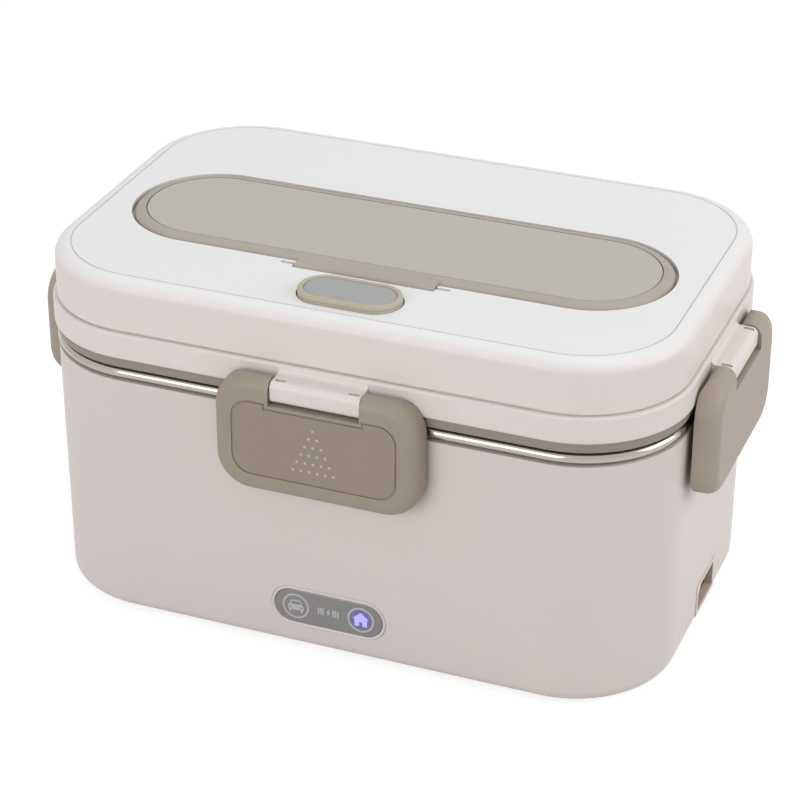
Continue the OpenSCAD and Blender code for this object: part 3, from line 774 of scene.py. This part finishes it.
@dataclass(frozen=True)
class Studio:
    """Pale floor, soft lamps and a white surround."""

    floor_size: float = 6.0
    floor_colour: Colour = (0.60, 0.58, 0.56)
    floor_seen: Colour = (0.42, 0.42, 0.42)
    floor_glow: float = 0.74
    world_colour: Colour = (0.98, 0.985, 1.0)
    world_light: float = 0.55
    lamps: tuple[SoftBox, ...] = (
        SoftBox("lamp_above", (-0.05, 0.35, 1.35), 1.1, 4.4, (1.0, 1.0, 0.99)),
        SoftBox("lamp_right", (1.36, 0.30, 0.70), 0.9, 9.0, (1.0, 0.99, 0.98)),
        SoftBox("lamp_front", (-0.30, -1.42, 0.60), 0.9, 9.4, (1.0, 0.99, 0.985)),
    )

    def build(self) -> None:
        """Makes the floor, the surround and the lamps."""
        self._floor()
        self._surround()
        for lamp in self.lamps:
            lamp.build()
        bpy.context.scene.view_settings.view_transform = "Standard"

    def _floor(self) -> None:
        """Lays the pale floor, which keeps the object's shadow."""
        half = self.floor_size / 2
        corners = [(-half, -half, 0), (half, -half, 0), (half, half, 0), (-half, half, 0)]
        mesh = bpy.data.meshes.new("studio_floor")
        mesh.from_pydata(corners, [], [(0, 1, 2, 3)])
        floor = bpy.data.objects.new("studio_floor", mesh)
        bpy.context.scene.collection.objects.link(floor)
        shader = Shader("studio_floor")
        seen = shader.seen_directly()
        shader.set(
            Base_Color=shader.blend(seen, self.floor_colour, self.floor_seen),
            Roughness=1.0,
            Specular_IOR_Level=0.0,
            Emission_Color=shader.blend(seen, BLACK, WHITE),
            Emission_Strength=self.floor_glow,
        )
        mesh.materials.append(shader.material)

    def _surround(self) -> None:
        """Lights the room evenly and shows it white to the camera."""
        world = bpy.data.worlds.new("studio")
        world.use_nodes = True
        nodes = Nodes(world.node_tree)
        room, white = (
            nodes.node("ShaderNodeBackground", values={"Color": colour, "Strength": strength})
            for colour, strength in ((self.world_colour, self.world_light), (WHITE, 1.0))
        )
        shown = {0: nodes.seen_directly(), 1: room, 2: white}
        nodes.show("ShaderNodeOutputWorld", nodes.node("ShaderNodeMixShader", values=shown))
        bpy.context.scene.world = world


# ---------------------------------------------------------------- meshes

ON_FRONT = Matrix.Rotation(math.pi / 2, 4, "X")
CREASE_ANGLE = math.radians(38.0)
BEVEL_ANGLE = math.radians(50.0)
MARK_EDGE = 0.04


def pill_loop(length: float, width: float, inset: float, height: float, steps: int = 20) -> Loop:
    """Points round a pill shape.

    Args:
        length: Length over the round ends, in millimetres.
        width: Width.
        inset: How far the loop lies inside the edge.
        height: Height of the loop.
        steps: Points on each round end.

    Returns:
        The loop's points, counter-clockwise.
    """
    reach, radius = (length - width) / 2, width / 2 - inset
    points = []
    for end, start in ((1, -90.0), (-1, 90.0)):
        for step in range(steps + 1):
            turn = math.radians(start + 180.0 * step / steps)
            across = end * reach + radius * math.cos(turn)
            points.append(Vector((across, radius * math.sin(turn), height)))
    return points


def round_loop(radius: float, height: float, steps: int = 40) -> Loop:
    """Points round a circle, in millimetres."""
    turns = [math.tau * step / steps for step in range(steps)]
    return [Vector((radius * math.cos(turn), radius * math.sin(turn), height)) for turn in turns]


def corner_loop(
    length: float, width: float, corner: float, inset: float, height: float, steps: int = 12
) -> Loop:
    """Points round a rounded rectangle.

    Args:
        length: Length, in millimetres.
        width: Width.
        corner: Corner radius.
        inset: How far the loop lies inside the edge.
        height: Height of the loop.
        steps: Points on each corner.

    Returns:
        The loop's points, counter-clockwise.
    """
    reach_x, reach_y, radius = length / 2 - corner, width / 2 - corner, corner - inset
    points = []
    for quarter, (side_x, side_y) in enumerate(((1, 1), (-1, 1), (-1, -1), (1, -1))):
        for step in range(steps + 1):
            turn = math.radians(90.0 * (quarter + step / steps))
            points.append(Vector((side_x * reach_x + radius * math.cos(turn),
                                  side_y * reach_y + radius * math.sin(turn), height)))
    return points


def bridge(
    shape: bmesh.types.BMesh,
    lower: Sequence[bmesh.types.BMVert],
    upper: Sequence[bmesh.types.BMVert],
) -> None:
    """Joins two rows of points with a band of faces.

    Args:
        shape: The shape that holds the rows.
        lower: The lower row.
        upper: The upper row, with as many points.
    """
    for index in range(len(lower)):
        after = (index + 1) % len(lower)
        shape.faces.new((lower[index], lower[after], upper[after], upper[index]))


def lofted(
    name: str, loops: Sequence[Loop], place: Matrix, finish: Finish, ring: bool = False
) -> bpy.types.Object:
    """Joins loops of points into one closed skin.

    Args:
        name: The piece's name.
        loops: Loops with as many points each, in millimetres.
        place: Where the piece goes, in metres.
        finish: The piece's finish.
        ring: Whether the last loop joins the first, instead of both ends being capped.

    Returns:
        The piece.
    """
    shape = bmesh.new()
    rows = [[shape.verts.new(point * MM) for point in loop] for loop in loops]
    for lower, upper in zip(rows, rows[1:]):
        bridge(shape, lower, upper)
    if ring:
        bridge(shape, rows[-1], rows[0])
    else:
        shape.faces.new(list(reversed(rows[0])))
        shape.faces.new(rows[-1])
    return finished(name, shape, place, finish)


def raised(
    name: str, outlines: Sequence[Outline], low: float, high: float, place: Matrix, finish: Finish
) -> bpy.types.Object:
    """Raises flat outlines into one piece with softened edges.

    Args:
        name: The piece's name.
        outlines: Closed outlines, in millimetres.
        low: Height of the underside.
        high: Height of the face.
        place: Where the piece goes, in metres.
        finish: The piece's finish.

    Returns:
        The piece.
    """
    shape = bmesh.new()
    for outline in outlines:
        lower, upper = ([shape.verts.new(Vector((x, y, level)) * MM) for x, y in outline]
                        for level in (low, high))
        shape.faces.new(list(reversed(lower)))
        shape.faces.new(upper)
        bridge(shape, lower, upper)
    piece = finished(name, shape, place, finish)
    soften(piece, MARK_EDGE, 1)
    return piece


def finished(
    name: str,
    shape: bmesh.types.BMesh,
    place: Matrix,
    finish: Finish,
) -> bpy.types.Object:
    """Turns a shape into a smooth-shaded piece in the scene.

    Args:
        name: The piece's name.
        shape: The shape, in metres.
        place: Where the piece goes.
        finish: The piece's finish.

    Returns:
        The piece.
    """
    bmesh.ops.recalc_face_normals(shape, faces=shape.faces)
    shape.transform(place)
    mesh = bpy.data.meshes.new(name)
    shape.to_mesh(mesh)
    shape.free()
    mesh.set_sharp_from_angle(angle=CREASE_ANGLE)
    for polygon in mesh.polygons:
        polygon.use_smooth = True
    mesh.materials.append(finish.material())
    piece = bpy.data.objects.new(name, mesh)
    bpy.context.scene.collection.objects.link(piece)
    return piece


def soften(piece: bpy.types.Object, width: float, segments: int = 2) -> None:
    """Rounds a piece's sharp edges.

    Args:
        piece: The piece.
        width: Width of the rounding, in millimetres.
        segments: Steps across it.
    """
    bevel = piece.modifiers.new("soft_edges", "BEVEL")
    bevel.width = width * MM
    bevel.segments = segments
    bevel.limit_method = "ANGLE"
    bevel.angle_limit = BEVEL_ANGLE
    bevel.use_clamp_overlap = True
    bevel.harden_normals = True


# ---------------------------------------------------------------- the part


@dataclass
class SubAssembly:
    """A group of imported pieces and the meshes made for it."""

    title: str
    body: str
    slot: str
    finishes: dict[str, Finish]
    edges: dict[str, float] = field(default_factory=dict)

    def dress(self, nodes: dict[str, bpy.types.Object]) -> None:
        """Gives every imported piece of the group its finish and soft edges.

        Args:
            nodes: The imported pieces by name.
        """
        for name, finish in self.finishes.items():
            piece = nodes[name]
            piece.data.materials.clear()
            piece.data.materials.append(finish.material())
            if name in self.edges:
                soften(piece, self.edges[name])
            LOG.info("%s: %s in %s", self.title, name, finish.name)

    def build(self) -> None:
        """Makes the group's own meshes; a plain group has none."""

    def add(self, piece: bpy.types.Object, slot: str | None = None) -> bpy.types.Object:
        """Hangs a made piece on the group's body.

        Args:
            piece: The made piece.
            slot: Its material slot in the record, if it isn't the group's own; not used.

        Returns:
            The piece.
        """
        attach(piece, self.body)
        LOG.info("%s: made %s", self.title, piece.name)
        return piece


@dataclass
class IndicatorPanel(SubAssembly):
    """Tinted window with its trim and the two ringed power marks."""

    ring_x: float = 12.5
    ring_r: float = 5.1
    ring_w: float = 0.7
    trim_w: float = 1.3
    mark_foot: float = -0.05
    mark_h: float = 0.12
    lens_edge: Section = ((0.0, -0.25), (0.12, -0.1), (0.4, -0.02), (0.9, 0.0))
    trim_edge: Section = ((0.0, -0.05), (0.06, 0.13), (0.22, 0.26), (0.45, 0.3), (0.75, 0.28),
                          (1.0, 0.16), (1.14, -0.04), (1.2, -0.3))
    disc_edge: Section = ((3.9, -0.05), (3.9, 0.05), (3.7, 0.07))
    car: Outline = ((-1.7, 2.5), (1.7, 2.5), (2.35, 0.8), (3.05, 0.2), (3.05, -1.6), (2.7, -1.6),
                    (2.7, -2.5), (1.8, -2.5), (1.8, -1.6), (-1.8, -1.6), (-1.8, -2.5),
                    (-2.7, -2.5), (-2.7, -1.6), (-3.05, -1.6), (-3.05, 0.2), (-2.35, 0.8))
    car_screen: Outline = ((-1.4, 1.95), (1.4, 1.95), (1.85, 0.8), (-1.85, 0.8))
    car_lamp_r: float = 0.42
    car_lamps: Outline = ((-2.1, -0.6), (2.1, -0.6))
    lamp_steps: int = 12
    glass_sunk: float = 0.03
    glass_proud: float = 0.04
    house: Outline = ((0.0, 3.0), (3.1, 0.4), (2.4, 0.4), (2.4, -2.6), (0.6, -2.6), (0.6, -0.9),
                      (-0.6, -0.9), (-0.6, -2.6), (-2.4, -2.6), (-2.4, 0.4), (-3.1, 0.4))
    house_foot: float = 0.02
    house_proud: float = 0.03
    bolt: Outline = ((0.55, 1.8), (-1.0, -0.25), (-0.1, -0.25), (-0.55, -1.8), (1.0, 0.3),
                     (0.1, 0.3))
    bar_half: tuple[float, float] = (0.3, 1.4)
    bars_x: tuple[float, ...] = (-3.7, -2.8, -1.9, 1.9, 2.8, 3.7)
    middle_share: float = 0.6

    def build(self) -> None:
        """Makes the window, its trim and the marks."""
        low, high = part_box("panel_window")
        length, height = (high.x - low.x) / MM, (high.z - low.z) / MM
        back = -(high.y - low.y) / MM
        centre = Vector((0.0, low.y, (low.z + high.z) / 2))
        place = Matrix.Translation(centre) @ ON_FRONT
        edge = ((0.0, back), *self.lens_edge)
        loops = [pill_loop(length, height, inset, level) for inset, level in edge]
        window = lofted("panel_lens", loops, place, Finish.WINDOW)
        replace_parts(self.add(window, "panel_grey"), "panel_window")
        self._trim(place, length + 2 * self.trim_w, height + 2 * self.trim_w, back)
        left, right = (place @ Matrix.Translation(Vector((side * self.ring_x, 0, 0)) * MM)
                       for side in (-1, 1))
        self._ring("mark_ring_left", left)
        self._ring("mark_ring_right", right)
        self._car(left)
        self._house(right)
        self._middle(place)

    def _trim(self, place: Matrix, length: float, height: float, back: float) -> None:
        """Makes the pearl trim round the window.

        Args:
            place: The window's place.
            length: Length over the trim.
            height: Height over the trim.
            back: Height of the trim's back, behind the window's face.
        """
        outer, inner = self.trim_edge[0][0], self.trim_edge[-1][0]
        section = ((outer, back), *self.trim_edge, (inner, back))
        loops = [pill_loop(length, height, inset, level) for inset, level in section]
        trim = lofted("panel_trim", loops, place, Finish.BEZEL, ring=True)
        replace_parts(self.add(trim, "bezel_pearl"), "panel_bezel")

    def _ring(self, name: str, spot: Matrix) -> None:
        """Lays the ring round a power mark.

        Args:
            name: The ring's name.
            spot: The mark's place.
        """
        outer, inner = self.ring_r, self.ring_r - self.ring_w
        section = ((outer, self.mark_foot), (outer, self.mark_h), (inner, self.mark_h),
                   (inner, self.mark_foot))
        loops = [round_loop(radius, level) for radius, level in section]
        self.add(lofted(name, loops, spot, Finish.MARK, ring=True), "bezel_pearl")

    def _car(self, spot: Matrix) -> None:
        """Lays the car and its dark windscreen and lamps.

        Args:
            spot: The mark's place.
        """
        car = raised("mark_car", [self.car], self.mark_foot, self.mark_h, spot, Finish.MARK)
        self.add(car, "bezel_pearl")
        turns = [math.tau * step / self.lamp_steps for step in range(self.lamp_steps)]
        lamps = [[(x + self.car_lamp_r * math.cos(turn), y + self.car_lamp_r * math.sin(turn))
                  for turn in turns] for x, y in self.car_lamps]
        glass = raised("mark_car_glass", [self.car_screen, *lamps], self.mark_h - self.glass_sunk,
                       self.mark_h + self.glass_proud, spot, Finish.WINDOW)
        self.add(glass, "panel_grey")

    def _house(self, spot: Matrix) -> None:
        """Lays the lit house on its dim disc.

        Args:
            spot: The mark's place.
        """
        loops = [round_loop(radius, level) for radius, level in self.disc_edge]
        self.add(lofted("mark_disc", loops, spot, Finish.DISC), "led_clear")
        house = raised("mark_house", [self.house], self.house_foot,
                       self.mark_h + self.house_proud, spot, Finish.BLUE)
        self.add(house, "led_clear")

    def _middle(self, place: Matrix) -> None:
        """Lays the lightning bolt between its bars.

        Args:
            place: The window's place.
        """
        half_w, half_h = self.bar_half
        bars = [[(x - half_w, -half_h), (x + half_w, -half_h), (x + half_w, half_h),
                 (x - half_w, half_h)] for x in self.bars_x]
        middle = raised("mark_middle", [self.bolt, *bars], self.mark_foot,
                        self.mark_h * self.middle_share, place, Finish.MARK)
        self.add(middle, "bezel_pearl")


@dataclass
class ClipOnLid(SubAssembly):
    """Lid with its band, cover and inner lid, and a silicone seal with two pressing lips.

    The seal's section goes by how far each point lies inside the band's edge, and how far it
    lies below the seal's top.
    """

    length: float = 237.0
    width: float = 152.0
    corner: float = 40.0
    seal_section: Section = (
        (1.1, 0.0), (1.1, -0.9), (1.22, -1.05), (1.22, -1.25), (1.1, -1.4), (1.12, -3.0),
        (1.35, -3.7), (1.9, -4.0), (2.6, -4.0), (3.1, -3.7), (3.6, -3.0), (4.6, -2.8),
        (5.4, -3.1), (6.0, -3.7), (6.6, -4.0), (7.4, -4.0), (8.1, -3.7), (8.7, -2.9),
        (10.4, -2.3), (11.95, -1.8), (11.95, 0.0))

    def build(self) -> None:
        """Makes the seal."""
        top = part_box("lid_seal")[1].z / MM
        loops = [corner_loop(self.length, self.width, self.corner, inset, top + drop)
                 for inset, drop in self.seal_section]
        seal = lofted("seal_ring", loops, Matrix.Identity(4), Finish.SEAL, ring=True)
        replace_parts(self.add(seal, "seal_grey"), "lid_seal")


@dataclass
class SteamPlug(SubAssembly):
    """Silicone plug: a ringed body on a lipped stem, with an inset grip pad.

    Heights are taken from the plug's top, and those of stem_section from the stem's foot. The
    body and the pad go by how far each point lies inside the edge, and the stem by its radius.
    """

    rim: float = 2.0
    pad_gap: float = 0.1
    seat: float = -5.2
    core: float = 9.0
    pocket: float = -1.15
    body_section: Section = (
        (0.5, -5.2), (0.12, -5.0), (0.0, -4.6), (0.0, -2.15), (0.1, -1.98), (0.38, -1.86),
        (0.38, -1.74), (0.1, -1.6), (0.0, -1.42), (0.04, -0.75), (0.3, -0.28), (0.75, -0.05),
        (1.1, 0.0), (1.65, -0.04), (1.88, -0.16), (2.0, -0.4))
    stem_section: Section = (
        (2.1, 0.0), (3.2, 0.05), (3.6, 0.9), (3.84, 1.5), (3.45, 2.0), (3.4, 3.4), (3.84, 4.0),
        (3.45, 4.6))
    stem_top: tuple[float, float] = (3.5, -4.8)
    pad_section: Section = (
        (0.0, -1.1), (0.0, -0.62), (0.14, -0.46), (0.45, -0.36), (1.2, -0.24), (2.6, -0.14),
        (4.6, -0.08), (6.6, -0.06))

    def build(self) -> None:
        """Makes the plug's body, stem and pad."""
        low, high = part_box("steam_plug")
        length, width = (high.x - low.x) / MM, (high.y - low.y) / MM
        centre = Vector(((low.x + high.x) / 2, (low.y + high.y) / 2, high.z))
        place = Matrix.Translation(centre)
        foot = (low.z - high.z) / MM
        section = ((self.core, self.seat), *self.body_section, (self.rim, self.pocket),
                   (self.core, self.pocket))
        loops = [pill_loop(length, width, inset, level) for inset, level in section]
        body = lofted("plug_body", loops, place, Finish.RIM)
        loops = [round_loop(radius, foot + rise) for radius, rise in self.stem_section]
        stem = lofted("plug_stem", [*loops, round_loop(*self.stem_top)], place, Finish.RIM)
        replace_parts(self.add(body), "steam_plug")
        self.add(stem)
        edge = self.rim + self.pad_gap
        loops = [pill_loop(length - 2 * edge, width - 2 * edge, inset, level)
                 for inset, level in self.pad_section]
        pad = lofted("plug_pad", loops, place, Finish.PLUG)
        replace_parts(self.add(pad, "plug_grey"), "plug_inset")


def latches() -> list[SubAssembly]:
    """Lists the four latches: gripped ones along the box, plain ones at its ends.

    Returns:
        One group for each latch.
    """
    # The end latches' paler finish is painted light; they are the same plastic as the others.
    kinds = {"front": Finish.LATCH_ALONG, "right": Finish.LATCH_END,
             "back": Finish.LATCH_ALONG, "left": Finish.LATCH_END}
    return [SubAssembly(f"{side} latch", f"{side}_latch", "taupe_plastic",
                        {f"latch_{side}": finish}, {f"latch_{side}": 0.25})
            for side, finish in kinds.items()]


def part() -> list[SubAssembly]:
    """Lists the sub-assemblies in the order in which they go together.

    Returns:
        Every group of the part.
    """
    return [
        SubAssembly("heated base", "base", "shell_cream", {
            "outer_shell": Finish.SHELL, "base_plate": Finish.BASE, "feet": Finish.RUBBER,
            "base_screws": Finish.STEEL, "inner_well": Finish.WELL}),
        SubAssembly("heating group", "base", "aluminium", {
            "heating_plate": Finish.CAST, "heater_mains": Finish.CERAMIC,
            "heater_low_voltage": Finish.CERAMIC, "heater_clamp": Finish.STEEL,
            "heater_screws": Finish.STEEL, "thermostat": Finish.BLACK,
            "thermal_fuse": Finish.BASE, "insulation_pad": Finish.FELT, "wiring": Finish.WIRE}),
        SubAssembly("control board", "base", "board_green", {
            "circuit_board": Finish.BOARD, "board_screws": Finish.STEEL,
            "indicator_leds": Finish.LED}),
        IndicatorPanel("indicator panel", "base", "panel_grey", {
            "panel_bezel": Finish.BEZEL, "panel_window": Finish.WINDOW}),
        SubAssembly("power socket", "base", "socket_brown", {
            "socket_frame": Finish.SOCKET_FRAME, "socket_housing": Finish.SOCKET,
            "socket_pins": Finish.STEEL}, {"socket_frame": 0.3}),
        SubAssembly("food container", "container", "stainless", {
            "food_container": Finish.STAINLESS}),
        ClipOnLid("lid", "lid", "lid_white", {
            "lid_band": Finish.BAND, "lid_cover": Finish.LID, "inner_lid": Finish.UNDERLID,
            "lid_seal": Finish.SEAL, "lid_screws": Finish.STEEL, "latch_pins": Finish.STEEL,
            "cover_hinge_pin": Finish.STEEL}, {"lid_band": 0.2, "lid_cover": 0.2}),
        SubAssembly("cutlery cover", "bay_cover", "taupe_plastic", {
            "cutlery_cover": Finish.TAUPE, "cover_inlay": Finish.INLAY},
            {"cutlery_cover": 0.45, "cover_inlay": 0.2}),
        SteamPlug("steam plug", "plug", "plug_rim", {
            "steam_plug": Finish.RIM, "plug_inset": Finish.PLUG}),
        *latches(),
    ]


def main() -> None:
    """Loads the frame, builds the studio and dresses the part."""
    logging.basicConfig(level=logging.INFO, format="%(message)s")
    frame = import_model()
    PhotoCamera().build()
    Studio().build()
    for group in part():
        group.dress(frame["nodes"])
        group.build()


if __name__ == "__main__":
    main()
